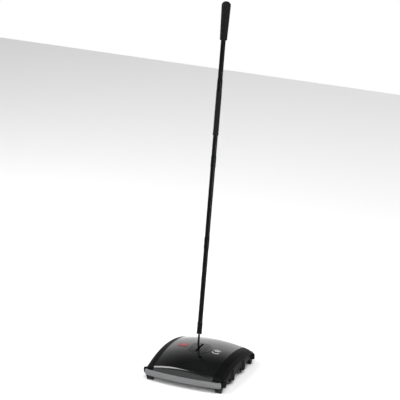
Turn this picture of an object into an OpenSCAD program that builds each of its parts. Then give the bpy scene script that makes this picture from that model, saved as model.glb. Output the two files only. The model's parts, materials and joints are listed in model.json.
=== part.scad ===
// Push-along carpet sweeper: a domed head on four wheels that drive a brush roll,
// two dust pans that tip open below, and a sectional handle on a wire yoke.
// Millimetres. X is the width, the handle leans back towards +Y, Z is up, floor at Z = 0.

/* [Head] */
// Width over the bumpers
head_w = 266.7; // [260:0.1:275]
// Depth over the bumpers at the middle of the head
head_d = 263.8; // [260:0.1:268]
// Height of the cover's crown above the floor
crown_z = 77; // [77:0.1:78]
// Radius of the cover's dome, front to back
dome_r = 340; // [335:1:350]
// Radius of the cover's dome, side to side
crown_r = 510; // [500:5:560]
// Radius of the bowed front and rear edges in plan
bow_r = 940; // [900:10:1000]
// Wall of the moulded shells
wall = 2.5; // [2.2:0.1:2.8]

/* [Bumper] */
// Lower edge of the bumper strip
bumper_z0 = 18.5; // [18:0.5:20]
// Upper edge of the bumper strip
bumper_z1 = 36; // [35.5:0.5:36.5]
// Thickness of the bumper strip
bumper_t = 6; // [5.8:0.1:6]
// Radius of the bumper's corners in plan
corner_r = 25; // [22:1:28]

/* [Wheels and brush] */
// Radius of a wheel over its tyre
wheel_r = 23; // [22.8:0.1:23]
// Distance of each wheel axle from the brush, front to back
wheel_y = 39; // [38.5:0.5:40]
// Height of the brush roll's axis
brush_z = 29.5; // [29.3:0.1:30]
// Radius of the brush roll over its bristles
bristle_r = 28.8; // [28:0.1:29]
// Radius of the brush roll's core
core_r = 11; // [10:0.5:12]
// Gap left between tyre and drive roller
drive_gap = 0.24; // [0.2:0.02:0.3]

/* [Dust pans] */
// Distance of each pan's hinge rod from the middle of the head
pan_hinge_y = 113; // [112.5:0.5:113]
// Height of the pan's hinge rods
pan_hinge_z = 16; // [16:0.5:17]
// Half the width of a pan
pan_half_w = 96.5; // [96:0.1:96.6]
// Height of the pan's rim when shut
pan_rim_z = 36; // [34:0.5:36.5]

/* [Handle] */
// Backward lean of the handle at rest, degrees from upright
lean = 11.1; // [10:0.1:12]
// Height of the yoke's pivot
pivot_z = 69; // [68.8:0.1:69.2]
// Distance of the handle's axis in front of the head's middle, at the cover
axis_y = -14; // [-15:0.5:-12]
// Height at which the handle's own axis is at axis_y
axis_z = 65.6; // [65:0.1:66]
// Radius of the wire yoke
wire_r = 3; // [2.8:0.1:3.1]
// Radius of a handle tube
tube_r = 7; // [6.8:0.1:7.2]
// Radius of the swelled socket at a tube's lower end
socket_r = 7.75; // [7.6:0.05:8]
// Wall of the handle tubes
tube_wall = 0.9; // [0.8:0.05:1]
// Places along the handle: tube's lower end, the joints, the sleeve, the grip, the top
tube_start = 61.7; // [60:0.1:64]
// Joint between the lowest tube and the second
joint_1 = 318.2; // [310:0.1:325]
// Joint between the second tube and the third
joint_2 = 561.6; // [555:0.1:570]
// Lower end of the sleeve
sleeve_start = 656.5; // [650:0.1:660]
// Joint between the third tube and the fourth, at the sleeve's upper end
joint_3 = 787.6; // [780:0.1:795]
// Lower end of the grip
grip_start = 935.1; // [930:0.1:940]
// Top of the grip
grip_end = 1047.7; // [1040:0.1:1055]

/* [Slot] */
// Length of the slot that the yoke swings in
slot_l = 62; // [60:1:66]
// Width of the slot
slot_w = 7.2; // [7:0.1:8]

/* [Hidden] */
$fn = 64;
big_fn = 720;                              // facets of the very large arcs
shell = "#1b1d1e";
cap_grey = "#3a3c3d";
bumper_grey = "#8f9294";
steel = "#b9bcc0";
gloss = "#101112";

half_w = head_w / 2;
half_d = head_d / 2;
bow_cy = bow_r - half_d;                   // centre of a bowed edge, beyond the middle of the head
corner_x = half_w - corner_r;              // centre of a corner in plan
corner_y = sqrt(pow(bow_r - corner_r, 2) - corner_x * corner_x) - bow_cy;
strip_end = 50;                            // where a bumper strip ends on a corner, degrees from the side
bumper_inset = bumper_t + 0.15;            // outline of what the bumper wraps round
fascia_slope = 0.4;                        // horizontal run of the slanted fascia per mm of height
fascia_inset = 6;                          // fascia's foot behind the bumper's face
inset_run = sqrt(1 + fascia_slope * fascia_slope);
seam_x = 95;                               // cover's side edges
seam_gap = 0.15;
dome_z = crown_z - dome_r;                 // centre of the dome, seen from the side
cap_x = 125;                               // outer face of the end caps
shoulder_r = 22;                           // rounding of the end caps' shoulders
shoulder_x = cap_x - shoulder_r;
shoulder_hub = dome_r - crown_r + sqrt(pow(crown_r - shoulder_r, 2) - shoulder_x * shoulder_x) + 0.05;
fender_r = 20;
fender_x = cap_x + 4 - fender_r;
skirt_z = 27;                              // end cap's lower edge between the wheels
fender_z = 33;                             // centre of the round guards over the wheels
fender_top = 44;
lobe_y = 108;                              // round lobes at the corners of the end caps
lobe_z = 30;
lobe_r = 13;
guard_z = 27;                              // round guards beside the bumper strips' ends
guard_r = 9.5;
plate_x = 99.5;                            // inner face of the chassis side plates
plate_t = 2.5;
deck_z = 40;
deck_t = 2;
hood_r = 33.2;
hood_t = 2;
bracket_z = 63.2;                          // underside of the pivot bracket
bracket_t = 1.2;
screw_r = 1.5;
cap_screws = [[-78, 36], [0, 52], [78, 36]];      // Y and Z
cover_screws = [[-60, -88], [60, -88], [-60, 88], [60, 88]];
axle_r = 3;
wheel_x0 = 104.5;                          // inner face of the wheels
wheel_w = 12.5;
hub_r = 17.5;
run_fit = 0.05;                            // radial clearance of a running fit
set_fit = 0.02;                            // clearance of a pin that is fixed in its hole
wheel_drop = brush_z - wheel_r;
roller_r = sqrt(wheel_y * wheel_y + wheel_drop * wheel_drop) - wheel_r - drive_gap;
spindle_r = 4;
spindle_half = 119;
bristle_half = 94;
hinge_rod_r = 1.5;
pan_barrel_r = 4;
pan_wall = 1.6;
pan_floor_z = 12;
pan_lip_y = 31;
spring_l = 11;                             // room for the spring beside the pan's barrel
lug_x = 96.8;                              // inner face of the lugs that hold the hinge rods
tuft_x = 110;
tuft_y = 109;
tuft_w = 20;
pad_z = 17;
pin_r = 2.5;
bend_z = 90;                               // height of the bend in the yoke's wire
overlap = 28;                              // how far one tube goes into the next

function bend_y() = axis_y + (bend_z - axis_z) * tan(lean);
function fascia_r(z) = bow_r - fascia_inset - (z - bumper_z1) * fascia_slope;

// ---------- shared forms ----------

// Plan outline of the head over its bumpers, drawn in by inset
module plan(inset) {
    r = corner_r - inset;
    offset(r = r) offset(delta = -r)
        intersection() {
            square([2 * (half_w - inset), 2 * half_d], center = true);
            intersection_for (s = [-1, 1]) translate([0, s * bow_cy]) circle(bow_r - inset, $fn = big_fn);
        }
}

// Half section of the dome turned about the head's long axis: X is the radius, Y the width
module dome_section(inset) {
    intersection() {
        translate([dome_r - crown_r, 0]) circle(crown_r - inset, $fn = big_fn);
        translate([0, -half_w]) square([dome_r + 10, head_w]);
    }
}

// Dome and slanted front and rear faces above z0, drawn in by inset
module head_form(inset, z0 = bumper_z1 + 0.3) {
    top = crown_z + 5;
    foot_r = fascia_r(bumper_z1) - inset * inset_run;
    intersection() {
        translate([0, 0, dome_z]) rotate([0, 90, 0]) rotate_extrude($fn = big_fn) dome_section(inset);
        intersection_for (s = [-1, 1]) translate([0, s * bow_cy, 0]) rotate_extrude($fn = big_fn)
            polygon([[0, 0], [foot_r, 0], [foot_r, bumper_z1],
                     [fascia_r(top) - inset * inset_run, top], [0, top]]);
        translate([-half_w, -half_d, z0]) cube([head_w, head_d, top - z0]);
    }
}

// Everything between the two seams
module between_seams(gap) {
    translate([gap - seam_x, -half_d - 5, 0]) cube([2 * (seam_x - gap), head_d + 10, crown_z + 10]);
}

// A skin on the dome over the given flat outline, from height a to height b above it
module dome_skin(a, b) {
    difference() {
        intersection() {
            head_form(-b);
            linear_extrude(crown_z + 10) children();
        }
        head_form(-a, 0);
    }
}

module slot_outline(l, w) {
    translate([-w / 2, -l / 2 + w / 2]) square([w, l - w]);
    for (s = [-1, 1]) translate([0, s * (l / 2 - w / 2)]) circle(w / 2);
}

module rod_x(r, x0, x1, y, z) {
    translate([x0, y, z]) rotate([0, 90, 0]) cylinder(r = r, h = x1 - x0);
}

// A machine screw along +Z with its head's underside at Z = 0
module screw(length) {
    difference() {
        translate([0, 0, -1.8]) cylinder(r = 3, h = 1.8);
        for (a = [0, 90]) rotate(a) translate([-1.8, -0.4, -2]) cube([3.6, 0.8, 1]);
    }
    translate([0, 0, -0.1]) cylinder(r = screw_r, h = length + 0.1);
}

// ---------- shells ----------

module top_cover() {
    color(gloss) difference() {
        union() {
            difference() {
                intersection() { head_form(0); between_seams(seam_gap); }
                head_form(wall, 0);
            }
            for (p = cover_screws) intersection() {
                head_form(wall / 2);
                translate([p[0], p[1], deck_z + 2]) cylinder(r = 4.5, h = 40);
            }
        }
        translate([0, 0, crown_z - 20]) linear_extrude(30) slot_outline(slot_l, slot_w);
        for (p = cover_screws) translate([p[0], p[1], 0]) cylinder(r = screw_r + set_fit, h = deck_z + 10);
    }
}

// Oval trim round the slot, with low ribs that run front to back
module slot_trim() {
    color(shell) union() {
        dome_skin(0.02, 0.8) difference() {
            circle(38);
            slot_outline(slot_l - 1, slot_w);
        }
        for (x = [8, 14, 20, 26]) for (s = [-1, 1]) dome_skin(0.4, 1.8) intersection() {
            circle(35.5);
            translate([s * x - 1.1, -40]) square([2.2, 80]);
        }
    }
}

module badge_plate() {
    color("#b3262c") dome_skin(0.02, 1) translate([-55, 4]) offset(r = 3) square([26, 14], center = true);
}

// Sweeping mark: short rays over a shallow arc
module emblem_plate() {
    color("#e6e6e4") dome_skin(0.02, 0.5) translate([54.5, -2]) union() {
        intersection() {
            difference() { circle(12.5); circle(10); }
            translate([-14, -14]) square([28, 10]);
        }
        for (a = [-50 : 25 : 50]) rotate(a) translate([-1.1, 3]) square([2.2, 13]);
    }
}

// Section of the shoulder and side wall, turned about the head's long axis
module cap_section(inset) {
    union() {
        square([dome_r + 5, (crown_r - inset) * shoulder_x / (crown_r - shoulder_r)]);
        square([shoulder_hub, cap_x - inset]);
        translate([shoulder_hub, shoulder_x]) circle(shoulder_r - inset);
    }
}

// Solid form of a right-hand end cap down to the floor, drawn in by inset
module cap_solid(inset) {
    intersection() {
        union() {
            translate([0, 0, dome_z]) rotate([0, 90, 0]) rotate_extrude($fn = big_fn) cap_section(inset);
            for (s = [-1, 1]) translate([fender_x, s * wheel_y, 0])
                cylinder(r = fender_r - inset, h = fender_top - inset);
        }
        linear_extrude(crown_z + 10) plan(bumper_inset + inset);
        head_form(inset, 0);
    }
}

// Round guard at a front corner, out to the bumper's outline and clear of the strip's end
module corner_guard() {
    difference() {
        intersection() {
            rod_x(guard_r, cap_x - 12, half_w, -lobe_y, guard_z);
            translate([corner_x, -corner_y, 0]) cylinder(r = corner_r, h = 60);
        }
        translate([corner_x, -corner_y, 0]) rotate(4 - strip_end)
            translate([-40, -60, 0]) cube([100, 60, 60]);
    }
}

// Lower edge of an end cap: round guards over the wheels, lobes at the corners
module skirt_outline() {
    translate([-half_d, skirt_z]) square([head_d, 60]);
    for (s = [-1, 1]) {
        translate([s * wheel_y, fender_z]) circle(fender_r);
        translate([s * lobe_y, lobe_z]) circle(lobe_r);
    }
}

module end_cap() {
    color(cap_grey) difference() {
        union() {
            difference() {
                union() {
                    intersection() {
                        cap_solid(0);
                        rotate([90, 0, 90]) linear_extrude(half_w) skirt_outline();
                    }
                    for (m = [0, 1]) mirror([0, m, 0]) corner_guard();
                }
                between_seams(-seam_gap);
                cap_solid(wall);
            }
            for (p = cap_screws) intersection() {
                rod_x(4.5, plate_x + plate_t, cap_x - 1, p[0], p[1]);
                cap_solid(wall / 2);
            }
        }
        for (p = cap_screws) rod_x(screw_r + set_fit, plate_x, plate_x + 14, p[0], p[1]);
        // crease between the shoulder and the side wall
        translate([0, 0, dome_z]) rotate([0, 90, 0]) rotate_extrude($fn = big_fn)
            translate([shoulder_hub + 12, shoulder_x + 21.4]) circle(4);
    }
}
module end_cap_right() { end_cap(); }
module end_cap_left() { mirror([1, 0, 0]) end_cap(); }

module bumper() {
    far = [corner_x + 60 * cos(strip_end), -corner_y - 60 * sin(strip_end)];
    color(bumper_grey) difference() {
        intersection() {
            union() {
                translate([0, 0, bumper_z0 + 2]) linear_extrude(bumper_z1 - bumper_z0 - 4) plan(0);
                translate([0, 0, bumper_z0]) linear_extrude(bumper_z1 - bumper_z0) plan(1.2);
            }
            linear_extrude(60)
                polygon([[corner_x, -corner_y], far, [-far[0], far[1]], [-corner_x, -corner_y]]);
        }
        translate([0, 0, bumper_z0 - 1]) linear_extrude(bumper_z1) plan(bumper_t);
    }
}
module front_bumper() { bumper(); }
module rear_bumper() { mirror([0, 1, 0]) bumper(); }

// ---------- chassis ----------

module side_plate() {
    difference() {
        intersection() {
            translate([plate_x, -half_d, pad_z]) cube([plate_t, head_d, 80]);
            head_form(wall + 0.3, 0);
            linear_extrude(100) plan(bumper_inset + wall + 0.3);
        }
        rod_x(8 + set_fit, 90, 110, 0, brush_z);
        for (s = [-1, 1]) rod_x(axle_r + set_fit, 90, 110, s * wheel_y, wheel_r);
    }
}

module chassis_frame() {
    span = 2 * plate_x + 1;
    inner = bumper_inset + wall + 0.3;
    end_x = cap_x - wall - 0.8;
    color(shell) difference() {
        union() {
            for (m = [0, 1]) mirror([m, 0, 0]) side_plate();
            intersection() {
                union() {
                    // decks over the pans
                    for (s = [0, 1]) mirror([0, s, 0])
                        translate([-span / 2, -half_d, deck_z]) cube([span, half_d - 29, deck_t]);
                    // end walls behind the bumpers, low where they pass under the end caps' shoulders
                    difference() {
                        union() {
                            translate([-end_x, -half_d, pad_z]) cube([2 * end_x, head_d, skirt_z - pad_z]);
                            translate([-span / 2, -half_d, pad_z])
                                cube([span, head_d, deck_z + deck_t - pad_z]);
                        }
                        linear_extrude(60) plan(inner + 2);
                        translate([-half_w, -100, 0]) cube([head_w, 200, 60]);
                    }
                    // lugs that hold the pans' hinge rods
                    for (x = [-1, 1]) for (y = [-1, 1])
                        translate([x * (lug_x + 0.9) - 0.9, y * pan_hinge_y - 6, pan_floor_z])
                            cube([1.8, 12, deck_z - pan_floor_z + 1]);
                    // pads that carry the corner tufts
                    for (x = [-1, 1]) for (y = [-1, 1])
                        translate([x * tuft_x - 11, y * tuft_y - 9, pad_z]) cube([22, 18, 3]);
                }
                linear_extrude(60) plan(inner);
                head_form(wall + 0.3, 0);
            }
            // hood over the brush, with a flat pad for the pivot bracket
            intersection() {
                rod_x(hood_r, -span / 2, span / 2, 0, brush_z);
                translate([-half_w, -half_d, deck_z]) cube([head_w, head_d, 60]);
            }
            translate([-18, -15, 55]) cube([36, 30, bracket_z - 55]);
        }
        rod_x(hood_r - hood_t, -plate_x, plate_x, 0, brush_z);
        for (s = [-1, 1]) rod_x(hinge_rod_r + set_fit, -100, 100, s * pan_hinge_y, pan_hinge_z);
        for (m = [0, 1]) mirror([m, 0, 0]) for (p = cap_screws)
            rod_x(screw_r + set_fit, 90, 110, p[0], p[1]);
        for (p = cover_screws) translate([p[0], p[1], 0]) cylinder(r = screw_r + set_fit, h = 60);
        bracket_holes();
    }
}

module housing_screws() {
    color(steel) for (p = cover_screws) translate([p[0], p[1], deck_z]) screw(9);
}

module end_cap_screws() {
    color(steel) for (m = [0, 1]) mirror([m, 0, 0]) for (p = cap_screws)
        translate([plate_x, p[0], p[1]]) rotate([0, 90, 0]) screw(13);
}

module at_bracket_screws() {
    for (x = [-12, 12]) for (y = [-9, 9]) translate([x, y, 0]) children();
}

module bracket_holes() {
    at_bracket_screws() translate([0, 0, 50]) cylinder(r = screw_r + set_fit, h = 20);
}

module pivot_bracket() {
    ear_x = 6.2;
    color(steel) difference() {
        union() {
            translate([-16, -13, bracket_z]) cube([32, 26, bracket_t]);
            for (m = [0, 1]) mirror([m, 0, 0]) {
                rod_x(5, ear_x, ear_x + 2, 0, pivot_z);
                translate([ear_x, -5, bracket_z]) cube([2, 10, pivot_z - bracket_z]);
            }
        }
        rod_x(pin_r + set_fit, -20, 20, 0, pivot_z);
        bracket_holes();
    }
}

module bracket_screws() {
    color(steel) at_bracket_screws() translate([0, 0, bracket_z + bracket_t]) mirror([0, 0, 1]) screw(6);
}

module pivot_pin() {
    color(steel) rod_x(pin_r, -11, 11, 0, pivot_z);
}

module pivot_pin_clips() {
    color(steel) for (m = [0, 1]) mirror([m, 0, 0]) difference() {
        rod_x(4, 8.6, 9.8, 0, pivot_z);
        rod_x(pin_r + set_fit, 8, 11, 0, pivot_z);
    }
}

module brush_bearing() {
    color("ivory") difference() {
        union() {
            rod_x(8, 97.6, 103.4, 0, brush_z);
            rod_x(9.5, 97.6, plate_x - 0.02, 0, brush_z);
        }
        rod_x(spindle_r + run_fit, 90, 110, 0, brush_z);
    }
}
module brush_bearing_right() { brush_bearing(); }
module brush_bearing_left() { mirror([1, 0, 0]) brush_bearing(); }

module axle(y) {
    color(steel) union() {
        rod_x(axle_r, 98, 120, y, wheel_r);
        rod_x(5, 97.5, plate_x - 0.02, y, wheel_r);
    }
}
module axle_front_right() { axle(-wheel_y); }
module axle_front_left() { mirror([1, 0, 0]) axle(-wheel_y); }
module axle_rear_right() { axle(wheel_y); }
module axle_rear_left() { mirror([1, 0, 0]) axle(wheel_y); }

module axle_clips() {
    color(steel) for (m = [0, 1]) mirror([m, 0, 0]) for (s = [-1, 1]) difference() {
        rod_x(6, wheel_x0 + wheel_w + 0.4, wheel_x0 + wheel_w + 1.4, s * wheel_y, wheel_r);
        rod_x(axle_r + set_fit, 110, 125, s * wheel_y, wheel_r);
    }
}

// ---------- corner tufts ----------

module at_corner(mx, my) {
    mirror([mx, 0, 0]) mirror([0, my, 0]) translate([tuft_x, -tuft_y, 0]) children();
}

module tuft_holder() {
    color(shell) difference() {
        translate([-tuft_w / 2 - 1, -5.6, 8]) cube([tuft_w + 2, 11.2, pad_z - 8 - 0.02]);
        translate([-tuft_w / 2 - 0.02, -4.02, 7]) cube([tuft_w + 0.04, 8.04, 8]);
    }
}
module tuft_holder_front_right() { at_corner(0, 0) tuft_holder(); }
module tuft_holder_front_left() { at_corner(1, 0) tuft_holder(); }
module tuft_holder_rear_right() { at_corner(0, 1) tuft_holder(); }
module tuft_holder_rear_left() { at_corner(1, 1) tuft_holder(); }

module corner_tuft() {
    color("#222222") rotate([90, 0, 90]) translate([0, 0, -tuft_w / 2]) linear_extrude(tuft_w)
        polygon([[-5.2, 0], [5.2, 0], [4, 7.9], [4, 15], [-4, 15], [-4, 7.9]]);
}
module corner_tuft_front_right() { at_corner(0, 0) corner_tuft(); }
module corner_tuft_front_left() { at_corner(1, 0) corner_tuft(); }
module corner_tuft_rear_right() { at_corner(0, 1) corner_tuft(); }
module corner_tuft_rear_left() { at_corner(1, 1) corner_tuft(); }

// ---------- dust pans ----------

module hinge_rod() {
    color(steel) rod_x(hinge_rod_r, -98.5, 98.5, -pan_hinge_y, pan_hinge_z);
}
module pan_hinge_rod_front() { hinge_rod(); }
module pan_hinge_rod_rear() { mirror([0, 1, 0]) hinge_rod(); }

// Spring that holds a pan shut: open turns round the hinge rod, beside the pan's barrel
module pan_spring() {
    turns = 6;
    coil_r = 2.8;
    thick = 0.6;
    pitch = 1.3;
    steps = 16;
    sides = 8;
    n = turns * steps;
    rings = [for (i = [0 : n]) for (j = [0 : sides - 1])
        let (a = 90 + 360 * i / steps, b = 360 * j / sides, r = coil_r + thick * cos(b))
        [pitch * i / steps + thick * sin(b), -r * cos(a), r * sin(a)]];
    quads = [for (i = [0 : n - 1]) for (j = [0 : sides - 1])
        [i * sides + j, i * sides + (j + 1) % sides, (i + 1) * sides + (j + 1) % sides, (i + 1) * sides + j]];
    ends = [[for (j = [sides - 1 : -1 : 0]) j], [for (j = [0 : sides - 1]) n * sides + j]];
    color(steel) translate([-pan_half_w + pan_wall + 0.8, -pan_hinge_y, pan_hinge_z])
        polyhedron(points = rings, faces = concat(quads, ends), convexity = 8);
}
module pan_spring_front() { pan_spring(); }
module pan_spring_rear() { rotate(180) pan_spring(); }

module pan() {
    barrel_x0 = -pan_half_w + spring_l;
    y0 = -pan_hinge_y - 2.8;
    section = [[-pan_hinge_y, pan_floor_z], [-42, pan_floor_z], [-pan_lip_y, 20.4],
               [-pan_lip_y - 1, 21.8], [-42.5, pan_floor_z + pan_wall], [-pan_hinge_y, pan_floor_z + pan_wall]];
    side = [[y0, pan_floor_z + 3], [y0, pan_rim_z], [-37, pan_rim_z], [-33.5, 22.5],
            [-42, pan_floor_z], [y0 + 3, pan_floor_z]];
    color(shell) difference() {
        union() {
            rotate([90, 0, 90]) translate([0, 0, -pan_half_w]) linear_extrude(2 * pan_half_w) polygon(section);
            translate([-pan_half_w, y0, pan_floor_z + 3])
                cube([2 * pan_half_w, pan_wall, pan_rim_z - pan_floor_z - 3]);
            for (x = [-pan_half_w, pan_half_w - pan_wall])
                rotate([90, 0, 90]) translate([0, 0, x]) linear_extrude(pan_wall) polygon(side);
            rod_x(pan_barrel_r, barrel_x0, -barrel_x0, -pan_hinge_y, pan_hinge_z);
            // finger tab under the lip
            translate([-16, -50, pan_floor_z - 3]) cube([32, 2, 3.5]);
        }
        rod_x(hinge_rod_r + run_fit, -100, 100, -pan_hinge_y, pan_hinge_z);
        // room for the spring beside the barrel
        rod_x(pan_barrel_r + 0.2, -pan_half_w + pan_wall, barrel_x0, -pan_hinge_y, pan_hinge_z);
    }
}
module front_pan() { pan(); }
module rear_pan() { rotate(180) pan(); }

// ---------- brush roll ----------

module brush_core() {
    color("#6b4a2c") difference() {
        rod_x(core_r, -bristle_half, bristle_half, 0, brush_z);
        rod_x(spindle_r + set_fit, -100, 100, 0, brush_z);
    }
}

module brush_spindle() {
    color(steel) rod_x(spindle_r, -spindle_half, spindle_half, 0, brush_z);
}

// Six spiral rows of bristles
module brush_bristles() {
    rows = 6;
    row_t = 5;
    color("#2a2a2a") translate([-bristle_half + 3, 0, brush_z]) rotate([0, 90, 0])
        linear_extrude(2 * bristle_half - 6, twist = 120, slices = 30, $fn = 8) for (i = [0 : rows - 1])
            rotate(i * 360 / rows) translate([core_r + 0.02, -row_t / 2])
                square([bristle_r - core_r - 0.12, row_t]);
}

module drive_roller() {
    color("#303030") difference() {
        union() {
            rod_x(roller_r, wheel_x0, wheel_x0 + wheel_w, 0, brush_z);
            rod_x(7, wheel_x0 + wheel_w - 0.1, wheel_x0 + wheel_w + 1, 0, brush_z);
        }
        rod_x(spindle_r + set_fit, 90, 130, 0, brush_z);
        difference() {
            rod_x(roller_r - 2.5, wheel_x0 + wheel_w - 5, wheel_x0 + wheel_w + 0.1, 0, brush_z);
            rod_x(7, 90, 130, 0, brush_z);
        }
    }
}
module drive_roller_right() { drive_roller(); }
module drive_roller_left() { mirror([1, 0, 0]) drive_roller(); }

// ---------- wheels ----------

module at_wheel(mx, my) {
    mirror([mx, 0, 0]) mirror([0, my, 0]) translate([wheel_x0, -wheel_y, wheel_r]) rotate([0, 90, 0]) children();
}

// A dished hub with six round lightening holes
module wheel_hub() {
    color(shell) difference() {
        cylinder(r = hub_r, h = wheel_w);
        translate([0, 0, -1]) cylinder(r = axle_r + run_fit, h = wheel_w + 2);
        difference() {
            translate([0, 0, 7]) cylinder(r = hub_r - 2, h = wheel_w);
            cylinder(r = 6, h = wheel_w + 1);
        }
        for (i = [0 : 5]) rotate(i * 60) translate([10.8, 0, -1]) cylinder(r = 3, h = 10);
    }
}

module wheel_tyre() {
    edge = 1.5;
    color("#161616") difference() {
        union() {
            translate([0, 0, edge]) cylinder(r = wheel_r, h = wheel_w - 2 * edge);
            cylinder(r1 = wheel_r - edge, r2 = wheel_r, h = edge);
            translate([0, 0, wheel_w - edge]) cylinder(r1 = wheel_r, r2 = wheel_r - edge, h = edge);
        }
        translate([0, 0, -1]) cylinder(r = hub_r + set_fit, h = wheel_w + 2);
    }
}
module wheel_hub_front_right() { at_wheel(0, 0) wheel_hub(); }
module wheel_hub_front_left() { at_wheel(1, 0) wheel_hub(); }
module wheel_hub_rear_right() { at_wheel(0, 1) wheel_hub(); }
module wheel_hub_rear_left() { at_wheel(1, 1) wheel_hub(); }
module wheel_tyre_front_right() { at_wheel(0, 0) wheel_tyre(); }
module wheel_tyre_front_left() { at_wheel(1, 0) wheel_tyre(); }
module wheel_tyre_rear_right() { at_wheel(0, 1) wheel_tyre(); }
module wheel_tyre_rear_left() { at_wheel(1, 1) wheel_tyre(); }

// ---------- handle ----------

// Puts Z along the handle's own axis, with zero at axis_z
module along_handle(s = 0) {
    translate([0, axis_y, axis_z]) rotate([-lean, 0, 0]) translate([0, 0, s]) children();
}

// Wire from the pivot's eye, round one bend, into the lowest tube
module handle_wire() {
    dy = bend_y();
    dz = bend_z - pivot_z;
    bend_s = (bend_z - axis_z) / cos(lean);
    color(gloss) difference() {
        union() {
            rod_x(4.2, -5.9, 5.9, 0, pivot_z);
            translate([0, 0, pivot_z]) rotate([-atan2(dy, dz), 0, 0])
                cylinder(r = wire_r, h = sqrt(dy * dy + dz * dz));
            translate([0, dy, bend_z]) sphere(wire_r);
            along_handle(bend_s) cylinder(r = wire_r, h = tube_start + 40 - bend_s);
        }
        rod_x(pin_r + run_fit, -20, 20, 0, pivot_z);
    }
}

module wire_bushing() {
    color(gloss) along_handle(tube_start - 2.5) difference() {
        union() {
            cylinder(r = socket_r + 0.5, h = 2.48);
            cylinder(r = socket_r - tube_wall - set_fit, h = 26);
        }
        translate([0, 0, -1]) cylinder(r = wire_r + set_fit, h = 40);
    }
}

// Tube with a swelled socket at its lower end and, unless plain, a drawn-in spigot at its upper end
module tube(length, spigot = true) {
    socket_l = overlap + 2;
    step = 6;
    r_in = socket_r - tube_wall;
    spigot_r = r_in - set_fit;
    color(gloss) difference() {
        union() {
            cylinder(r = socket_r, h = socket_l);
            translate([0, 0, socket_l]) cylinder(r1 = socket_r, r2 = tube_r, h = step);
            translate([0, 0, socket_l]) cylinder(r = tube_r, h = length - socket_l);
            if (spigot) cylinder(r = spigot_r, h = length + overlap);
        }
        translate([0, 0, -1]) cylinder(r = r_in, h = socket_l + 1);
        translate([0, 0, socket_l - 0.1])
            cylinder(r = tube_r - tube_wall - 0.3, h = length + overlap + 1);
    }
}
module tube_lower() { along_handle(tube_start) tube(joint_1 - tube_start); }
module tube_second() { along_handle(joint_1) tube(joint_2 - joint_1); }
module tube_third() { along_handle(joint_2) tube(joint_3 - joint_2); }
module tube_upper() { along_handle(joint_3) tube(grip_end - 8 - joint_3, spigot = false); }

// Matt sleeve round the third tube, just under its joint
module tube_sleeve() {
    l = joint_3 - sleeve_start - 0.3;
    color(shell) along_handle(sleeve_start) difference() {
        union() {
            cylinder(r1 = 8.8, r2 = 8.2, h = 10);
            translate([0, 0, 10]) cylinder(r = 8.2, h = l - 10);
        }
        translate([0, 0, -1]) cylinder(r = tube_r + set_fit, h = l + 2);
    }
}

module handle_grip() {
    l = grip_end - grip_start;
    r0 = 10.8;
    r1 = 13.6;
    dome_h = 12;
    ball = (r1 * r1 + dome_h * dome_h) / (2 * dome_h);
    color(shell) along_handle(grip_start) difference() {
        union() {
            cylinder(r1 = r0, r2 = r1, h = l - dome_h);
            intersection() {
                translate([0, 0, l - ball]) sphere(ball);
                translate([0, 0, l - dome_h - 0.1]) cylinder(r = r1, h = dome_h + 0.1);
            }
        }
        translate([0, 0, -1]) cylinder(r = tube_r + set_fit, h = l - 7 + 0.1);
    }
}

top_cover();
slot_trim();
badge_plate();
emblem_plate();
end_cap_left();
end_cap_right();
front_bumper();
rear_bumper();
chassis_frame();
housing_screws();
end_cap_screws();
pivot_bracket();
bracket_screws();
pivot_pin();
pivot_pin_clips();
brush_bearing_left();
brush_bearing_right();
axle_front_left();
axle_front_right();
axle_rear_left();
axle_rear_right();
axle_clips();
tuft_holder_front_left();
tuft_holder_front_right();
tuft_holder_rear_left();
tuft_holder_rear_right();
corner_tuft_front_left();
corner_tuft_front_right();
corner_tuft_rear_left();
corner_tuft_rear_right();
pan_hinge_rod_front();
pan_hinge_rod_rear();
pan_spring_front();
pan_spring_rear();
front_pan();
rear_pan();
brush_core();
brush_spindle();
brush_bristles();
drive_roller_left();
drive_roller_right();
wheel_hub_front_left();
wheel_tyre_front_left();
wheel_hub_front_right();
wheel_tyre_front_right();
wheel_hub_rear_left();
wheel_tyre_rear_left();
wheel_hub_rear_right();
wheel_tyre_rear_right();
handle_wire();
wire_bushing();
tube_lower();
tube_second();
tube_third();
tube_upper();
tube_sleeve();
handle_grip();
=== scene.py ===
# Looks of the carpet sweeper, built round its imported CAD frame. Lengths of the sweeper are
# millimetres until mesh_object() scales them to metres. The floor, lights and camera are in metres.
import json
import math
import random

import bmesh
import bpy
import numpy as np
from mathutils import Matrix, Vector

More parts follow.
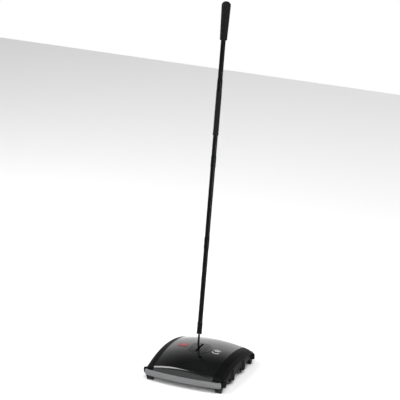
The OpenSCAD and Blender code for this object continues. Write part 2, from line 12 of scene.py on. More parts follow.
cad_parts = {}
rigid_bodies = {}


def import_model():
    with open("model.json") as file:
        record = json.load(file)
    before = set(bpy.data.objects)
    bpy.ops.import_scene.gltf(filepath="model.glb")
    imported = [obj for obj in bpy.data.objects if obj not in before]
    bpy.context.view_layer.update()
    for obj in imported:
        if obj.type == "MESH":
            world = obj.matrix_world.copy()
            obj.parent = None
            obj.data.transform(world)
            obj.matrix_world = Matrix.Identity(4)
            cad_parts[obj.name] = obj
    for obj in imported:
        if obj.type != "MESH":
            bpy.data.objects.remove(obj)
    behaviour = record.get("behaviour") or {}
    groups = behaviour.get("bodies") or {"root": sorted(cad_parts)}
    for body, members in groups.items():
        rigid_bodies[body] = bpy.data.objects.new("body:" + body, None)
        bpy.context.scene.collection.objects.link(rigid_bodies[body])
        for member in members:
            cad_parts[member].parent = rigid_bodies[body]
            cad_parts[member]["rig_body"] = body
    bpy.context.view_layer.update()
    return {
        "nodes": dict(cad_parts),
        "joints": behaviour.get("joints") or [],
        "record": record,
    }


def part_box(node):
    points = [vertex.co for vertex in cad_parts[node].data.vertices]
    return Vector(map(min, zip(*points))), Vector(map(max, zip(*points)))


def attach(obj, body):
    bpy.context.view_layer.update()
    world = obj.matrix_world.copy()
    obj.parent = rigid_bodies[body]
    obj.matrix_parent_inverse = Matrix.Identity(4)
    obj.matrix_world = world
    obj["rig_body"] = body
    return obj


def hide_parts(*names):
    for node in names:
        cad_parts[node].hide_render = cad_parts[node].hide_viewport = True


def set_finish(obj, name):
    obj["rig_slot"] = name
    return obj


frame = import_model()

MM = 0.001


# ---------------------------------------------------------------- places from the frame

def box_mm(node):
    lo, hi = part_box(node)
    return lo / MM, hi / MM


def joint_mm(name):
    joint = next(j for j in frame["joints"] if j["name"] == name)
    return Vector(joint["pos_m"]) / MM


bumper_lo, bumper_hi = box_mm("front_bumper")
HALF_W = 133.35                             # over the bumper strips and the corner guards
HALF_D = -bumper_lo.y
BUMPER_Z0, BUMPER_Z1 = bumper_lo.z, bumper_hi.z
CROWN_Z = box_mm("top_cover")[1].z
BRUSH = joint_mm("brush_spin")
WHEEL = joint_mm("wheel_rear_right_spin")

DOME_R, CROWN_R = 340.0, 510.0              # dome, front to back and side to side
BOW_R = 940.0                               # bowed front and rear edges in plan
BOW_CY = BOW_R - HALF_D
BUMPER_T = 6.0
CORNER_R = 25.0
CORNER_X = HALF_W - CORNER_R
CORNER_Y = math.sqrt((BOW_R - CORNER_R) ** 2 - CORNER_X ** 2) - BOW_CY
STRIP_END = math.radians(50)                # where a strip ends on a corner, from the side
FASCIA_INSET = 6.0                          # slanted face's foot behind the bumper's face
FASCIA_SLOPE = 0.4
SEAM_X = 95.0                               # cover's side edges
SEAM_GAP = 0.15
COVER_GAP = 0.3                             # cover's foot over the bumper
WALL = 2.5
CAP_X = 125.0
SHOULDER_R = 22.0
LEAN = math.radians(11.1)
AXIS_Y, AXIS_Z = -14.0, 65.6                # a point on the handle's own axis
SLOT_L, SLOT_W = 62.0, 7.2


# ---------------------------------------------------------------- mesh helpers

def mesh_object(name, verts, faces):
    """An object with a mesh of its own, from points in millimetres."""
    mesh = bpy.data.meshes.new(name)
    mesh.from_pydata((np.asarray(verts, float) * MM).tolist(), [], [list(map(int, f)) for f in faces])
    obj = bpy.data.objects.new(name, mesh)
    bpy.context.scene.collection.objects.link(obj)
    return obj


def weld(mesh):
    """Merges points that coincide and turns the faces outwards."""
    bm = bmesh.new()
    bm.from_mesh(mesh)
    bmesh.ops.remove_doubles(bm, verts=bm.verts, dist=1e-6)
    bmesh.ops.recalc_face_normals(bm, faces=bm.faces)
    bm.to_mesh(mesh)
    bm.free()


def declare(obj, body, slot, replaced):
    """Says which body a piece rides on, its material slot and the CAD node it stands for."""
    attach(obj, body)
    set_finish(obj, slot)
    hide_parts(replaced)


def mesh_piece(name, verts, faces, slot, body, replaced, smooth_deg):
    obj = mesh_object(name, verts, faces)
    obj.data.validate()
    to_piece(obj, slot, body, replaced, smooth_deg)


def grid_faces(rows, cols, wrap_rows=False, wrap_cols=False):
    """Quads over a rows x cols grid of points."""
    faces = []
    for i in range(rows if wrap_rows else rows - 1):
        for j in range(cols if wrap_cols else cols - 1):
            a, b = i * cols + j, i * cols + (j + 1) % cols
            c, d = ((i + 1) % rows) * cols + (j + 1) % cols, ((i + 1) % rows) * cols + j
            faces.append((a, b, c, d))
    return faces


def lathe(profile, place, sides):
    """Points and faces of a closed profile of (radius, height), turned about Z and put in place."""
    turns = [2 * math.pi * j / sides for j in range(sides)]
    pts = [tuple(place @ Vector((r * math.cos(a), r * math.sin(a), h))) for r, h in profile for a in turns]
    return pts, grid_faces(len(profile), sides, wrap_rows=True, wrap_cols=True)


def prism(outline, lo, hi, along="Z"):
    """A closed prism over an outline in X and Y, or over one in Y and Z when it runs along X."""
    n = len(outline)
    pts = [(h, *p) if along == "X" else (*p, h) for h in (lo, hi) for p in outline]
    faces = [(i, (i + 1) % n, n + (i + 1) % n, n + i) for i in range(n)]
    return pts, faces + [tuple(range(n))[::-1], tuple(range(n, 2 * n))]


def scratch(name, verts, faces):
    """A welded solid to cut, or to cut with."""
    obj = mesh_object(name, verts, faces)
    weld(obj.data)
    return obj


def cut(obj, tool, operation="DIFFERENCE"):
    """Applies one Boolean to obj and removes the tool."""
    mod = obj.modifiers.new("cut", "BOOLEAN")
    mod.operation, mod.object, mod.solver = operation, tool, "EXACT"
    bpy.context.view_layer.update()
    done = bpy.data.meshes.new_from_object(obj.evaluated_get(bpy.context.evaluated_depsgraph_get()))
    obj.modifiers.clear()
    obj.data = done
    bpy.data.objects.remove(tool)


def to_piece(obj, slot, body, replaced, smooth_deg):
    """Makes an object a piece in its slot's material, shaded smooth up to an angle."""
    mesh = obj.data
    weld(mesh)
    mesh.shade_smooth()
    mesh.set_sharp_from_angle(angle=math.radians(smooth_deg))
    mesh.update()
    mesh.materials.clear()
    mesh.materials.append(M[slot])
    declare(obj, body, slot, replaced)


def mirrored(obj, name, replaced):
    """A copy of a piece on the other side of the middle plane."""
    mesh = obj.data.copy()
    mesh.transform(Matrix.Scale(-1, 4, (1, 0, 0)))
    mesh.flip_normals()
    twin = bpy.data.objects.new(name, mesh)
    bpy.context.scene.collection.objects.link(twin)
    declare(twin, obj["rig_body"], obj["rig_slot"], replaced)


# ---------------------------------------------------------------- materials

def base_material(name, color, roughness, metallic=0.0, coat=0.0, coat_roughness=0.05, specular=0.5):
    mat = bpy.data.materials.new(name)
    mat.use_nodes = True
    shader = mat.node_tree.nodes["Principled BSDF"]
    shader.inputs["Base Color"].default_value = (*color, 1)
    shader.inputs["Roughness"].default_value = roughness
    shader.inputs["Metallic"].default_value = metallic
    shader.inputs["Coat Weight"].default_value = coat
    shader.inputs["Coat Roughness"].default_value = coat_roughness
    shader.inputs["Specular IOR Level"].default_value = specular
    return mat, shader


def node(mat, kind, **values):
    n = mat.node_tree.nodes.new(kind)
    for key, value in values.items():
        if key in n.inputs:
            n.inputs[key].default_value = value
        else:
            setattr(n, key, value)
    return n


def noise(mat, scale, detail=4.0, stretch=(1, 1, 1), roughness=0.5):
    """A noise over the object's own coordinates, scale in features per metre."""
    coords = node(mat, "ShaderNodeTexCoord")
    mapping = node(mat, "ShaderNodeMapping")
    mapping.inputs["Scale"].default_value = stretch
    tex = node(mat, "ShaderNodeTexNoise", Scale=scale, Detail=detail, Roughness=roughness)
    mat.node_tree.links.new(coords.outputs["Object"], mapping.inputs["Vector"])
    mat.node_tree.links.new(mapping.outputs["Vector"], tex.inputs["Vector"])
    return tex.outputs["Fac"]


def remap(mat, fac, lo, hi, out_lo, out_hi):
    n = node(mat, "ShaderNodeMapRange")
    n.inputs["From Min"].default_value, n.inputs["From Max"].default_value = lo, hi
    n.inputs["To Min"].default_value, n.inputs["To Max"].default_value = out_lo, out_hi
    mat.node_tree.links.new(fac, n.inputs["Value"])
    return n.outputs["Result"]


def scaled(color, factor, lift=0.0):
    return tuple(c * factor + lift for c in color)


def tint(mat, shader, fac, lo, hi, dark, light):
    """Base colour that drifts from dark to light while a factor goes from lo to hi."""
    fac = remap(mat, fac, lo, hi, 0, 1)
    mix = node(mat, "ShaderNodeMix", data_type="RGBA")
    mix.inputs[6].default_value, mix.inputs[7].default_value = (*dark, 1), (*light, 1)
    mat.node_tree.links.new(fac, mix.inputs["Factor"])
    mat.node_tree.links.new(mix.outputs[2], shader.inputs["Base Color"])


def bump(mat, shader, height, strength, distance, under=None):
    n = node(mat, "ShaderNodeBump")
    n.inputs["Strength"].default_value, n.inputs["Distance"].default_value = strength, distance
    mat.node_tree.links.new(height, n.inputs["Height"])
    if under is not None:
        mat.node_tree.links.new(under.outputs["Normal"], n.inputs["Normal"])
    mat.node_tree.links.new(n.outputs["Normal"], shader.inputs["Normal"])
    return n


def rough(mat, shader, fac, lo, hi):
    """Roughness that drifts between two values."""
    mat.node_tree.links.new(remap(mat, fac, 0.3, 0.7, lo, hi), shader.inputs["Roughness"])


def gloss_plastic(name, color, roughness=0.13, coat=0.5):
    """Injection-moulded gloss: faint orange peel, hairline scuffs, patches of handling haze."""
    mat, shader = base_material(name, color, roughness, coat=coat, coat_roughness=0.04)
    haze = noise(mat, 14, 3)
    rough(mat, shader, haze, roughness * 0.75, roughness * 1.5)
    peel = bump(mat, shader, noise(mat, 260, 2), 0.05, 0.0004)
    bump(mat, shader, noise(mat, 900, 1, (0.06, 1, 1)), 0.02, 0.0002, peel)
    tint(mat, shader, haze, 0.35, 0.7, color, scaled(color, 1.5, 0.0006))
    return mat


def matt_plastic(name, color, roughness=0.5, grain=1500, depth=0.12, specular=0.2):
    """Spark-eroded matt moulding with slight colour drift and rubbed patches."""
    mat, shader = base_material(name, color, roughness, specular=specular)
    drift = noise(mat, 22, 4)
    rough(mat, shader, drift, roughness * 0.85, roughness * 1.2)
    bump(mat, shader, noise(mat, grain, 2), depth, 0.0004)
    tint(mat, shader, drift, 0.3, 0.7, scaled(color, 0.85), scaled(color, 1.2))
    return mat


def vinyl(name, color):
    """Soft extruded vinyl: fine grain, drag lines, darker scuffs."""
    roughness = 0.42
    mat, shader = base_material(name, color, roughness, specular=0.3)
    scuff = noise(mat, 30, 6, (0.35, 0.35, 2.5), 0.65)
    rough(mat, shader, scuff, roughness * 0.8, roughness * 1.25)
    grain = bump(mat, shader, noise(mat, 1100, 3), 0.1, 0.0003)
    bump(mat, shader, noise(mat, 500, 2, (0.05, 0.05, 1)), 0.08, 0.0003, grain)
    tint(mat, shader, scuff, 0.3, 0.62, scaled(color, 0.84), scaled(color, 1.06))
    return mat


def powder_coat(name, color):
    """Thin satin paint on steel tube, worn slightly lighter in patches."""
    roughness = 0.2
    mat, shader = base_material(name, color, roughness, coat=0.03, coat_roughness=0.08, specular=0.06)
    wear = noise(mat, 40, 5)
    rough(mat, shader, wear, roughness * 0.8, roughness * 1.4)
    bump(mat, shader, noise(mat, 700, 2), 0.08, 0.0003)
    tint(mat, shader, wear, 0.35, 0.7, color, scaled(color, 1.6, 0.0004))
    return mat


def plated_steel(name):
    """Zinc-plated steel: cloudy sheen and fine drawing marks."""
    color, roughness = (0.62, 0.63, 0.65), 0.3
    mat, shader = base_material(name, color, roughness, metallic=1.0)
    cloud = noise(mat, 160, 4)
    rough(mat, shader, cloud, roughness * 0.7, roughness * 1.5)
    bump(mat, shader, noise(mat, 2500, 2, (0.08, 1, 1)), 0.1, 0.0002)
    tint(mat, shader, cloud, 0.3, 0.7, scaled(color, 0.85), color)
    return mat


def rubber(name, color, roughness=0.65, grain=900, specular=0.2):
    """Moulded rubber: coarse grain with dust in it."""
    mat, shader = base_material(name, color, roughness, specular=specular)
    dust = noise(mat, 60, 5)
    rough(mat, shader, dust, roughness * 0.85, roughness * 1.2)
    bump(mat, shader, noise(mat, grain, 3), 0.2, 0.0004)
    tint(mat, shader, dust, 0.35, 0.75, color, scaled(color, 1.7, 0.0006))
    return mat


def filament(name, color):
    """Nylon bristle: semi-gloss, each stretch slightly lighter or darker."""
    mat, shader = base_material(name, color, 0.38)
    streak = noise(mat, 500, 3)
    rough(mat, shader, streak, 0.3, 0.5)
    bump(mat, shader, noise(mat, 3000, 1), 0.1, 0.0001)
    tint(mat, shader, streak, 0.35, 0.65, scaled(color, 0.6), scaled(color, 1.9))
    return mat


def wood(name):
    """Bare wood, its grain along the brush."""
    mat, shader = base_material(name, (0.42, 0.27, 0.15), 0.5)
    grain = noise(mat, 120, 6, (0.06, 1, 1), 0.6)
    rough(mat, shader, grain, 0.42, 0.62)
    bump(mat, shader, noise(mat, 900, 3, (0.05, 1, 1)), 0.25, 0.0003)
    tint(mat, shader, grain, 0.35, 0.65, (0.30, 0.17, 0.08), (0.52, 0.35, 0.20))
    return mat


# how each material is made, its name, which is also its slot's, and its colour and settings
LOOKS = (
    (gloss_plastic, "cover_black", (0.0016, 0.0018, 0.0019)),
    (gloss_plastic, "trim_black", (0.0024, 0.0025, 0.0026), 0.22),
    (matt_plastic, "cap_black", (0.0025, 0.0026, 0.0028), 0.44, 1500, 0.12, 0.05),
    (matt_plastic, "frame_black", (0.006, 0.0062, 0.0064), 0.5),
    (matt_plastic, "pan_black", (0.007, 0.0072, 0.0074), 0.45),
    (matt_plastic, "hub_black", (0.007, 0.0072, 0.0074), 0.42),
    (matt_plastic, "sleeve_black", (0.003, 0.003, 0.0031), 0.5, 1900, 0.2, 0.1),
    (gloss_plastic, "badge_red", (0.13, 0.006, 0.009), 0.25, 0.15),
    (matt_plastic, "emblem_white", (0.42, 0.42, 0.41), 0.4, 1200, 0.05),
    (vinyl, "bumper_grey", (0.13, 0.132, 0.134)),
    (filament, "bristle_black", (0.006, 0.006, 0.0063)),
    (plated_steel, "zinc_steel"),
    (matt_plastic, "nylon_white", (0.72, 0.70, 0.64), 0.4, 800, 0.08),
    (wood, "brush_wood"),
    (rubber, "roller_rubber", (0.03, 0.03, 0.03)),
    (rubber, "tyre_black", (0.022, 0.022, 0.023), 0.7, 700),
    (powder_coat, "tube_black", (0.0012, 0.0012, 0.0013)),
    (rubber, "grip_black", (0.002, 0.002, 0.0021), 0.5, 1300, 0.08),
)
M = {name: make(name, *settings) for make, name, *settings in LOOKS}


def paint_cad_nodes():
    """Gives every CAD node its slot's material and smooth shading."""
    slots = {s["node"]: s["material_slot"] for s in frame["record"]["subparts"]}
    for name, obj in frame["nodes"].items():
        obj.data.materials.clear()
        obj.data.materials.append(M[slots[name]])
        obj.data.shade_smooth()
        obj.data.set_sharp_from_angle(angle=math.radians(30))


# ---------------------------------------------------------------- head forms

def dome_z(x, y):
    """Height of the doubly crowned dome."""
    arc_r = DOME_R - CROWN_R + math.sqrt(CROWN_R ** 2 - x * x)
    return CROWN_Z - DOME_R + math.sqrt(arc_r ** 2 - y * y)


def fascia_r(z):
    """Plan radius of the slanted face at a height."""
    return BOW_R - FASCIA_INSET - (z - BUMPER_Z1) * FASCIA_SLOPE


def fascia_y(x, z):
    """How far the slanted face is from the middle of the head at a width and a height."""
    return math.sqrt(fascia_r(z) ** 2 - x * x) - BOW_CY


def shoulder_corner(x):
    """Where the slanted face meets the dome at a width."""
    lo, hi = BUMPER_Z1, CROWN_Z
    for _ in range(40):
        z = (lo + hi) / 2
        if dome_z(x, fascia_y(x, z)) > z:
            lo = z
        else:
            hi = z
    return fascia_y(x, lo), lo


def cover_section(x, foot_z):
    """Outer line of the cover at one width, from the front foot over the dome to the rear foot."""
    fillet, n_face, n_fillet, n_dome = 7.0, 8, 10, 70
    y_c, z_c = shoulder_corner(x)
    run = math.hypot(fascia_y(x, foot_z) - y_c, foot_z - z_c)
    t = fillet / run
    p0 = (y_c + (fascia_y(x, foot_z) - y_c) * t, z_c + (foot_z - z_c) * t)
    y1 = y_c - fillet * 0.9
    p1 = (y1, dome_z(x, y1))
    half = []
    for i in range(n_face):
        z = foot_z + (p0[1] - foot_z) * i / n_face
        half.append((fascia_y(x, z), z))
    for i in range(n_fillet):
        s = i / n_fillet
        half.append(tuple((1 - s) ** 2 * a + 2 * s * (1 - s) * c + s * s * b
                          for a, b, c in zip(p0, p1, (y_c, z_c))))
    for i in range(n_dome // 2 + 1):
        y = y1 * (1 - i / (n_dome / 2))
        half.append((y, dome_z(x, y)))
    front = [(-y, z) for y, z in half]
    return front + [(y, z) for y, z in half[-2::-1]]


def build_cover():
    """Curved shell of even thickness, closed round its rim, with the handle's slot cut out."""
    foot = BUMPER_Z1 + COVER_GAP
    cols = 72
    widths = np.linspace(-1, 1, cols) * (SEAM_X - SEAM_GAP)
    sections = [cover_section(x, foot) for x in widths]
    rows = len(sections[0])
    pts = np.array([[(x, *section[i]) for x, section in zip(widths, sections)] for i in range(rows)])
    normals = np.cross(np.gradient(pts, axis=1).reshape(-1, 3), np.gradient(pts, axis=0).reshape(-1, 3))
    normals = normals.reshape(pts.shape)
    normals /= np.linalg.norm(normals, axis=2, keepdims=True)
    normals *= np.sign(normals[rows // 2, cols // 2, 2])
    inside = pts - normals * WALL
    inside[0, :, 2] = foot
    inside[-1, :, 2] = foot
    n = rows * cols
    verts = np.concatenate([pts.reshape(-1, 3), inside.reshape(-1, 3)])
    outside = grid_faces(rows, cols)
    faces = outside + [tuple(n + k for k in reversed(f)) for f in outside]
    rim = [i * cols for i in range(rows)] + [(rows - 1) * cols + j for j in range(1, cols)]
    rim += [i * cols + cols - 1 for i in range(rows - 2, -1, -1)] + list(range(cols - 2, 0, -1))
    faces += [(a, b, n + b, n + a) for a, b in zip(rim, rim[1:] + rim[:1])]
    cover = scratch("top_cover_shell", verts, faces)
    cut(cover, scratch("slot_cutter", *prism(slot_outline(), CROWN_Z - 15, CROWN_Z + 10)))
    to_piece(cover, "cover_black", "chassis", "top_cover", 32)


def slot_outline():
    """Slot with round ends, in plan."""
    r, steps = SLOT_W / 2, 16
    return [(r * math.cos(a), s * (SLOT_L / 2 - r) + r * math.sin(a))
            for s, base in ((1, 0.0), (-1, math.pi))
            for a in (base + math.pi * k / steps for k in range(steps + 1))]


# ---------------------------------------------------------------- end caps

SIDES = (-1, 1)                             # front and rear
CREASE_OUT = 12.0                           # crease past the shoulder's hub, in a section
CREASE_DEPTH, CREASE_HALF_W = 1.5, 1.5
WALL_BACK, WALL_OUT, WALL_RUN = 3.4, 3.8, 9.0   # the wall is set back at the crease, then comes out
WALL_REACH = 30                             # how deep the wall's blend reaches
FENDER_R, FENDER_Z = 20.0, 33.0             # round guards over the wheels
FENDER_OUT, FENDER_DROP = 4, 10             # past the wall, and below the crease
SKIRT_Z = 27.0
LOBE_Y, LOBE_Z, LOBE_R = 108.0, 30.0, 13.0  # round lobes of the skirt at the corners
GUARD_Y, GUARD_Z, GUARD_R = 108.0, 27.0, 9.5    # corner guards
GUARD_GAP, STRIP_GAP = 0.3, 0.15            # inside the bumpers' outline, and behind a strip
SLIT_A = STRIP_END - 0.07                   # where a guard starts, just past the strip's end
RAY_X, RAY_Z = 104, 32                      # level segment inside a cap that its rays start from


def smooth_max(a, b, k):
    """The larger of two distances, blended over a width of k."""
    h = np.clip(0.5 + 0.5 * (a - b) / k, 0, 1)
    return b + (a - b) * h + k * h * (1 - h)


def smooth_min(a, b, k):
    return -smooth_max(-a, -b, k)


def cap_distance(p, inset):
    """Signed distance, roughly, to a right-hand end cap's solid form; negative inside.

    With an inset it is the form without its corner guards, and smaller by the inset.
    """
    x, y, z = p[..., 0], p[..., 1], p[..., 2]
    rho = np.hypot(y, z - (CROWN_Z - DOME_R))
    # section turned about the head's long axis: the dome's arc, a rounded shoulder, an upright wall
    hub_x = CAP_X - SHOULDER_R
    hub_r = DOME_R - CROWN_R + math.sqrt((CROWN_R - SHOULDER_R) ** 2 - hub_x ** 2)
    dome = np.hypot(x, rho - (DOME_R - CROWN_R)) - CROWN_R
    turn = np.arctan2(x, rho - (DOME_R - CROWN_R)) - math.asin(hub_x / (CROWN_R - SHOULDER_R))
    shoulder = np.hypot(x - hub_x, np.maximum(rho - hub_r, 0)) - SHOULDER_R
    body = np.where((turn > 0) & (x > hub_x), shoulder, np.maximum(dome, x - CAP_X))
    # crease: the shoulder ends in a sharp groove over a wall that stands out again
    crease_r = hub_r + CREASE_OUT
    drop = rho - crease_r
    below = np.clip(-drop / WALL_RUN, 0, 1)
    wall = x - (CAP_X - WALL_BACK + WALL_OUT * below * below * (3 - 2 * below))
    body = np.where(drop < 0, smooth_min(np.maximum(body, wall - WALL_REACH), wall, 0.6), body)
    body = body + CREASE_DEPTH * np.exp(-(drop / CREASE_HALF_W) ** 2)
    crease_z = CROWN_Z - DOME_R + np.sqrt(crease_r ** 2 - y * y)
    # guards that stand out over the wheels
    for side in SIDES:
        fender = np.hypot(x - (CAP_X + FENDER_OUT - FENDER_R), y - side * WHEEL.y) - FENDER_R
        fender = smooth_max(fender, z - (crease_z - FENDER_DROP), 5.0)
        body = smooth_min(body, fender, 2.5)
    # bowed front and rear, slanted above the bumper
    beside_strip = z < BUMPER_Z1
    plan_r = np.where(beside_strip, BOW_R - FASCIA_INSET, fascia_r(z))
    slant = np.where(beside_strip, 1.0, math.hypot(1, FASCIA_SLOPE))
    for side in SIDES:
        from_bow = np.hypot(x, y + side * BOW_CY)
        body = smooth_max(body, (from_bow - plan_r) / slant, 5.0)
        body = smooth_max(body, from_bow - (BOW_R - BUMPER_T - STRIP_GAP), 12.0)
    if inset:
        return body + inset
    # round guards at the corners, out to the bumpers' outline
    for side in SIDES:
        out_x, out_y = x - CORNER_X, side * y - CORNER_Y
        disc = np.hypot(y - side * GUARD_Y, z - GUARD_Z) - GUARD_R
        outline = np.where(out_y > 0, np.hypot(out_x, out_y) - CORNER_R, x - HALF_W) + GUARD_GAP
        slit = out_y * math.cos(SLIT_A) - out_x * math.sin(SLIT_A)
        guard = smooth_max(smooth_max(disc, outline, 5.0), slit, 1.5)
        body = smooth_min(body, guard, 1.5)
    return body


def capsule_grid(distance, y_half):
    """Points where rays from a level segment leave a form, and the quads between them."""
    rings, around = 210, 176
    straight = 0.62                         # share of the rings on the straight stretch
    far, halvings = 260.0, 44
    along = np.linspace(-1, 1, rings)
    fan = np.maximum(np.abs(along) - straight, 0) / (1 - straight) * np.sign(along)
    y_org = np.clip(along / straight, -1, 1) * y_half
    phi = fan * math.pi / 2
    w = np.linspace(0, 2 * math.pi, around, endpoint=False)
    dx = np.cos(phi)[:, None] * np.cos(w)[None]
    dz = np.cos(phi)[:, None] * np.sin(w)[None]
    dy = np.sin(phi)[:, None] * np.ones_like(w)[None]
    d = np.stack([dx, dy, dz], -1)
    o = np.zeros_like(d)
    o[..., 0], o[..., 1], o[..., 2] = RAY_X, y_org[:, None], RAY_Z
    lo, hi = np.zeros(d.shape[:2]), np.full(d.shape[:2], far)
    for _ in range(halvings):
        mid = (lo + hi) / 2
        outside = distance(o + d * mid[..., None]) > 0
        hi, lo = np.where(outside, mid, hi), np.where(outside, lo, mid)
    return (o + d * lo[..., None]).reshape(-1, 3), grid_faces(rings, around, wrap_cols=True)


def skirt_cutter(x0, x1):
    """Prism along X over what the end cap keeps: flat skirt, round wheel guards, corner lobes."""
    past, top = HALF_D + 5, 120
    ys = np.linspace(-past, past, 700)
    low = np.full_like(ys, SKIRT_Z)
    for side in SIDES:
        for cy, cz, r in ((side * WHEEL.y, FENDER_Z, FENDER_R), (side * LOBE_Y, LOBE_Z, LOBE_R)):
            arc = cz - np.sqrt(np.maximum(r * r - (ys - cy) ** 2, 0))
            low = np.where(np.abs(ys - cy) < r, smooth_min(low, arc, 4.0), low)
    return prism([*zip(ys, low), (past, top), (-past, top)], x0, x1, "X")


def seam_prism():
    """Prism over everything between the seams, a gap wider."""
    x, y, far, top = SEAM_X + SEAM_GAP, HALF_D + 20, 120, 120
    return prism([(x, -y), (x, y), (-far, y), (-far, -y)], 0, top)


def build_end_caps():
    """Right cap as a hollow shell, cut off at the seam and the skirt, and its mirror image."""
    def form(inset, inner_x, foot_z):
        def distance(p):
            return np.maximum(np.maximum(cap_distance(p, inset), inner_x - p[..., 0]), foot_z - p[..., 2])
        return distance

    cap = scratch("end_cap_shell_right", *capsule_grid(form(0, 86, 2.0), 88))
    cut(cap, scratch("hollow", *capsule_grid(form(WALL, 84, -5.0), 86)))
    cut(cap, scratch("seam", *seam_prism()))
    cut(cap, scratch("skirt", *skirt_cutter(60, 160)), "INTERSECT")
    to_piece(cap, "cap_black", "chassis", "end_cap_right", 38)
    mirrored(cap, "end_cap_shell_left", "end_cap_left")


# ---------------------------------------------------------------- bumpers

def plan_path():
    """Front outline in plan from one end of the strip, along the bow, to the other end."""
    n_corner, bow_step = 14, 4.0
    turn = math.atan2(CORNER_X, BOW_CY + CORNER_Y)
    right = []
    for k in range(n_corner):
        a = -STRIP_END - (math.pi / 2 - turn - STRIP_END) * k / n_corner
        right.append((CORNER_X + CORNER_R * math.cos(a), -CORNER_Y + CORNER_R * math.sin(a)))
    n_bow = int(2 * turn * BOW_R / bow_step)
    angles = [turn * (1 - 2 * k / n_bow) for k in range(n_bow + 1)]
    bow = [(BOW_R * math.sin(a), BOW_CY - BOW_R * math.cos(a)) for a in angles]
    return right + bow + [(-x, y) for x, y in reversed(right)]


def build_bumper(name, side, replaced):
    """Extruded strip: a crowned face that rolls back at both edges, and rounded ends."""
    mid = (BUMPER_Z0 + BUMPER_Z1) / 2
    half_h = (BUMPER_Z1 - BUMPER_Z0) / 2
    back, chamfer = BUMPER_T - 0.4, 0.6
    end_run, end_height = 4.0, 0.45         # a strip narrows to this share over its last stretch
    section = []
    for k in range(17):
        t = -1 + 2 * k / 16
        crown = 1.5 * abs(t) ** 2.6 + 1.6 * max(0, abs(t) - 0.9) / 0.1 * 0.6
        section.append((crown, mid + half_h * t))
    section += [(back, mid + half_h), (BUMPER_T, mid + half_h - chamfer),
                (BUMPER_T, mid - half_h + chamfer), (back, mid - half_h)]
    outer = np.array(plan_path())
    gone = np.concatenate([[0], np.cumsum(np.hypot(*np.diff(outer, axis=0).T))])
    to_end = np.minimum(gone, gone[-1] - gone)
    tangents = np.gradient(outer, axis=0)
    tangents /= np.linalg.norm(tangents, axis=1, keepdims=True)
    pts = []
    for (x, y), (tx, ty), left in zip(outer, tangents, to_end):
        inward = np.array([ty, -tx]) if (tx * y - ty * x) > 0 else np.array([-ty, tx])
        near = max(0.0, 1 - left / end_run)
        height = end_height + 0.55 * math.sqrt(1 - near * near)
        for depth, z in section:
            depth = depth + (BUMPER_T - depth) * 0.5 * near * near
            pts.append((x + inward[0] * depth, side * -(y + inward[1] * depth), mid + (z - mid) * height))
    n, cols = len(outer), len(section)
    faces = grid_faces(n, cols, wrap_cols=True)
    faces += [tuple(range(cols))[::-1], tuple(range((n - 1) * cols, n * cols))]
    mesh_piece(name, pts, faces, "bumper_grey", "chassis", replaced, 50)


# ---------------------------------------------------------------- corner tufts

def strand_faces(start, rings, sides):
    """Faces of one tapered filament whose points begin at start, open at both ends."""
    return [tuple(start + i for i in f) for f in grid_faces(rings, sides, wrap_cols=True)]


def strand_ends(start, rings, sides):
    """Its root and tip faces."""
    root = tuple(start + j for j in range(sides))[::-1]
    return root, tuple(start + (rings - 1) * sides + j for j in range(sides))


def tuft_filaments(rng, count, root, tip, root_z, tip_z, radius, splay):
    """Thin tapered filaments from a root rectangle to a slightly wider tip rectangle."""
    rings, sides, bend, taper = 4, 5, 0.3, 0.35
    pts, faces = [], []
    for _ in range(count):
        u, v = rng.uniform(-1, 1), rng.uniform(-1, 1)
        base = Vector((root[0] * u, root[1] * v, root_z))
        end = Vector((tip[0] * u + rng.uniform(-splay, splay), tip[1] * v + rng.uniform(-splay, splay),
                      tip_z + rng.uniform(0, 0.5)))
        bow = Vector((rng.uniform(-bend, bend), rng.uniform(-bend, bend), 0))
        start = len(pts)
        for k in range(rings):
            t = k / (rings - 1)
            c = base.lerp(end, t) + bow * math.sin(math.pi * t)
            r = radius * (1 - taper * t)
            for j in range(sides):
                a = 2 * math.pi * j / sides
                pts.append((c.x + r * math.cos(a), c.y + r * math.sin(a), c.z))
        faces += [*strand_faces(start, rings, sides), *strand_ends(start, rings, sides)]
    return pts, faces


def build_corner_tufts():
    for lr in ("left", "right"):
        for fr in ("front", "rear"):
            name = f"corner_tuft_{fr}_{lr}"
            lo, hi = box_mm(name)
            centre = (lo + hi) / 2
            rng = random.Random(f"tuft {fr} {lr}")
            pts, faces = tuft_filaments(rng, 420, (9.4, 3.4), (9.8, 4.8), 10.0, 0.0, 0.36, 0.35)
            pts = [(centre.x + x, centre.y + y, z) for x, y, z in pts]
            mesh_piece(name + "_filaments", pts, faces, "bristle_black", "chassis", name, 60)


# ---------------------------------------------------------------- brush roll

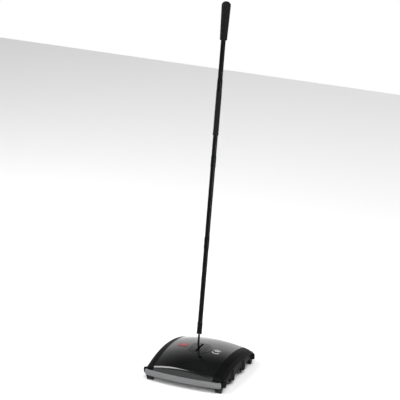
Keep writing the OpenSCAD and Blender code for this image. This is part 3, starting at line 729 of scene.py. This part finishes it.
def build_brush_bristles():
    """Tufts in six spiral rows; each tuft is a bunch of filaments that fans out a little."""
    rng = random.Random("brush roll")
    lo, hi = box_mm("brush_bristles")
    core_r, tip_r = 10.9, (hi.z - lo.z) / 2 - 0.25
    end_x = 3                               # from the bristles' end to the first tuft
    rows, tufts, per_tuft, rings, sides = 6, 34, 16, 4, 4
    twist = math.radians(120)
    pts, faces = [], []
    for row in range(rows):
        for k in range(tufts):
            x = lo.x + end_x + (hi.x - lo.x - 2 * end_x) * k / (tufts - 1)
            a0 = 2 * math.pi * row / rows + twist * k / (tufts - 1)
            for _ in range(per_tuft):
                da, dx = rng.uniform(-1, 1), rng.uniform(-1, 1)
                start = len(pts)
                reach = tip_r - rng.uniform(0, 0.7)
                for s in range(rings):
                    t = s / (rings - 1)
                    r = core_r + (reach - core_r) * t
                    a = a0 + da * 0.10 + da * 0.03 * t
                    c = Vector((x + dx * (1.1 + 1.0 * t), r * math.sin(a), r * math.cos(a)))
                    thick = 0.30 * (1 - 0.3 * t)
                    tang = Vector((0, math.cos(a), -math.sin(a)))
                    for j in range(sides):
                        b = 2 * math.pi * j / sides
                        p = c + Vector((1, 0, 0)) * thick * math.cos(b) + tang * thick * math.sin(b)
                        pts.append((p.x, p.y, p.z + BRUSH.z))
                root, tip = strand_ends(start, rings, sides)
                faces += [*strand_faces(start, rings, sides), tip, root]
    mesh_piece("brush_tufts", pts, faces, "bristle_black", "brush_roll", "brush_bristles", 60)


# ---------------------------------------------------------------- handle

HANDLE = Matrix.Translation((0, AXIS_Y, AXIS_Z)) @ Matrix.Rotation(-LEAN, 4, "X")


def build_grip():
    """Moulded grip: a collar at its mouth, a tapered body and a domed top."""
    start, end = 935.1, 1047.7              # along the handle's axis
    bore_r, collar_h, dome_h, dome_r = 7.05, 5.6, 12, 13.55
    tip_r, top_wall = 0.02, 9               # small flat on top, and the bore's depth under it
    n_body, n_dome = 40, 14
    profile = [(bore_r, start + 3), (bore_r, start), (10.0, start), (10.7, start + 0.8),
               (10.8, start + 3.0), (10.4, start + 4.2), (10.5, start + collar_h)]
    for k in range(1, n_body):
        t = k / n_body
        profile.append((10.6 + 2.9 * t ** 0.9, start + collar_h + (end - dome_h - start - collar_h) * t))
    for k in range(n_dome + 1):
        a = math.pi / 2 * k / n_dome
        profile.append((max(dome_r * math.cos(a), tip_r), end - dome_h + dome_h * math.sin(a)))
    profile += [(tip_r, end - top_wall), (bore_r, end - top_wall)]
    mesh_piece("grip_moulding", *lathe(profile, HANDLE, 72), "grip_black", "handle", "handle_grip", 40)


# ---------------------------------------------------------------- stage, light, camera

FLOOR_HALF = 2.6
# height in the sky, from 0 at the horizon to 1 straight up, and its grey there
SKY = ((0.0, 1.0), (0.36, 0.95), (0.5, 0.55), (0.64, 0.22), (0.76, 0.06), (1.0, 0.1))
# name, where it is, where it aims, its width and height, its watts
LIGHTS = (
    ("key", (-1.5, -0.6, 1.9), (0, 0, 0.1), (1.3, 1.3), 40),
    ("fill", (0.6, -2.6, 2.3), (0, 0, 0.2), (1.8, 1.2), 30),
    ("floor_wash", (2.6, -1.6, 6.0), (0, 0.2, 0), (5.0, 5.0), 360),
    ("strip", (2.74, -1.22, 0.35), (0, 0, 0.35), (0.35, 0.7), 34),
)


def build_stage():
    s = FLOOR_HALF
    mesh = bpy.data.meshes.new("floor")
    mesh.from_pydata([(-s, -s, 0), (s, -s, 0), (s, s, 0), (-s, s, 0)], [], [(0, 1, 2, 3)])
    floor = bpy.data.objects.new("floor", mesh)
    bpy.context.scene.collection.objects.link(floor)
    mat, _ = base_material("floor_white", (0.86, 0.86, 0.86), 0.9, specular=0.0)
    mesh.materials.append(mat)


def area_light(name, at, aim, size, power):
    data = bpy.data.lights.new(name, "AREA")
    data.shape, data.size, data.size_y, data.energy = "RECTANGLE", size[0], size[1], power
    obj = bpy.data.objects.new(name, data)
    obj.location = at
    obj.rotation_euler = (Vector(at) - Vector(aim)).to_track_quat("Z", "Y").to_euler()
    bpy.context.scene.collection.objects.link(obj)


def build_light():
    """Sky that is bright low down and dark overhead, for the black parts to mirror, and the lights."""
    world = bpy.data.worlds.new("studio")
    bpy.context.scene.world = world
    world.use_nodes = True
    tree = world.node_tree
    back = tree.nodes["Background"]
    coords = tree.nodes.new("ShaderNodeTexCoord")
    split = tree.nodes.new("ShaderNodeSeparateXYZ")
    ramp = tree.nodes.new("ShaderNodeValToRGB")
    tree.links.new(coords.outputs["Generated"], split.inputs[0])
    tree.links.new(split.outputs["Z"], ramp.inputs["Fac"])
    tree.links.new(ramp.outputs["Color"], back.inputs["Color"])
    while len(ramp.color_ramp.elements) < len(SKY):
        ramp.color_ramp.elements.new(0.5)
    for element, (at, grey) in zip(ramp.color_ramp.elements, SKY):
        element.position = at
        element.color = (grey, grey, grey, 1)
    back.inputs["Strength"].default_value = 1.0
    for light in LIGHTS:
        area_light(*light)


def build_camera():
    """Long lens, from the front right and above."""
    azimuth, pitch = math.radians(24.42), math.radians(21.68)
    distance, target = 6.934, Vector((0.0014, 0, 0.5476))
    level = math.cos(pitch)
    back = Vector((math.sin(azimuth) * level, -math.cos(azimuth) * level, math.sin(pitch)))
    data = bpy.data.cameras.new("camera")
    data.lens, data.sensor_width = 216.0, 36.0
    camera = bpy.data.objects.new("camera", data)
    camera.location = target + back * distance
    camera.rotation_euler = back.to_track_quat("Z", "Y").to_euler()
    bpy.context.scene.collection.objects.link(camera)
    bpy.context.scene.camera = camera


paint_cad_nodes()
build_cover()
build_end_caps()
build_bumper("front_bumper_strip", -1, "front_bumper")
build_bumper("rear_bumper_strip", 1, "rear_bumper")
build_corner_tufts()
build_brush_bristles()
build_grip()
build_stage()
build_light()
build_camera()
bpy.context.scene.view_settings.view_transform = "Standard"
